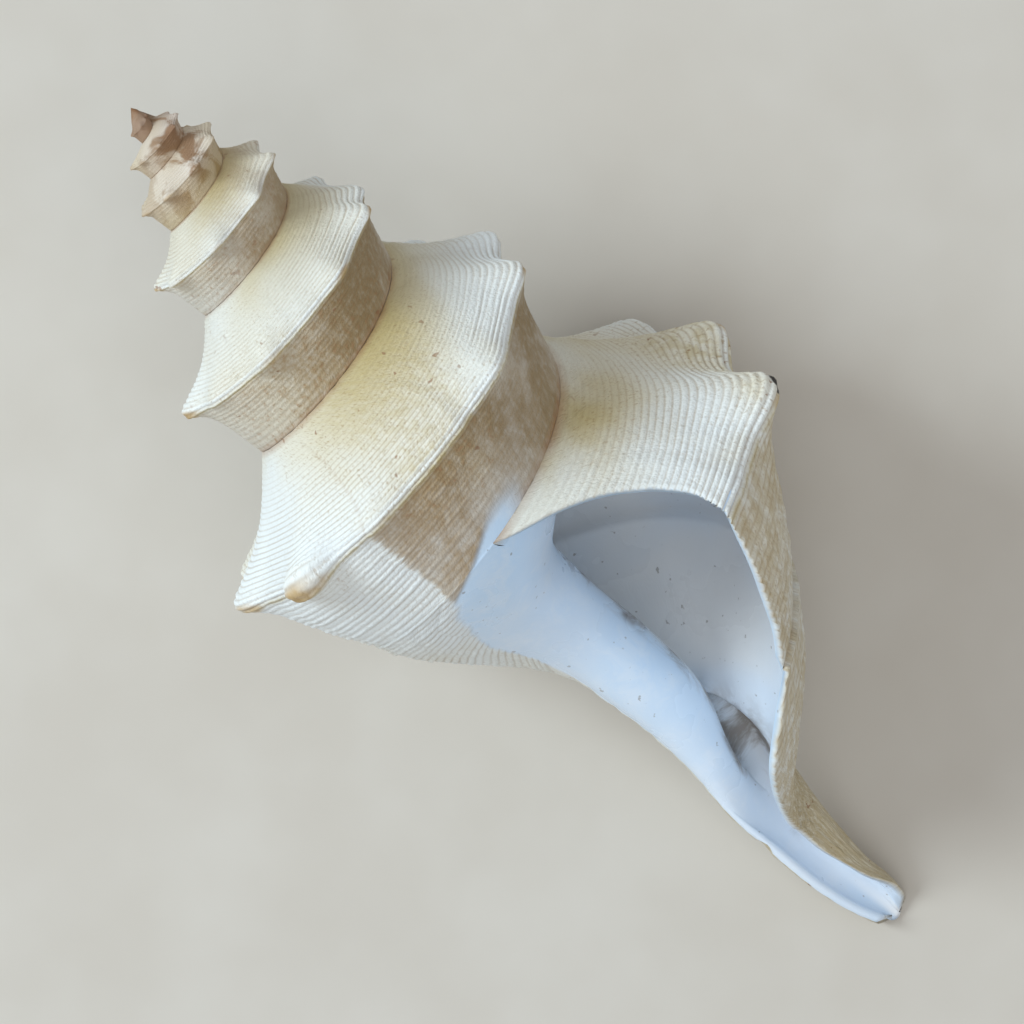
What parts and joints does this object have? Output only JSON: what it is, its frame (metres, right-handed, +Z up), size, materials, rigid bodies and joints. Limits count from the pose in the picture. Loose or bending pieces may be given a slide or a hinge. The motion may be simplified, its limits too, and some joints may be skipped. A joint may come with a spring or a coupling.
{
  "type": "whelk shell",
  "caption": "Large knobbed whelk shell with a tall stepped spire, a wide open mouth and a long open canal, lying on its back.",
  "frame": {"origin": "centre of the box round the shell, on the surface it lies on", "axes": "+X from the tip of the spire towards the end of the canal, along the surface; +Z up, away from the surface, with the mouth open upwards"},
  "size_m": [0.1486, 0.0714, 0.0617],
  "materials": {
    "shell": "satin"
  },
  "bodies": {
    "root": {"shell": "shell"}
  },
  "joints": []
}
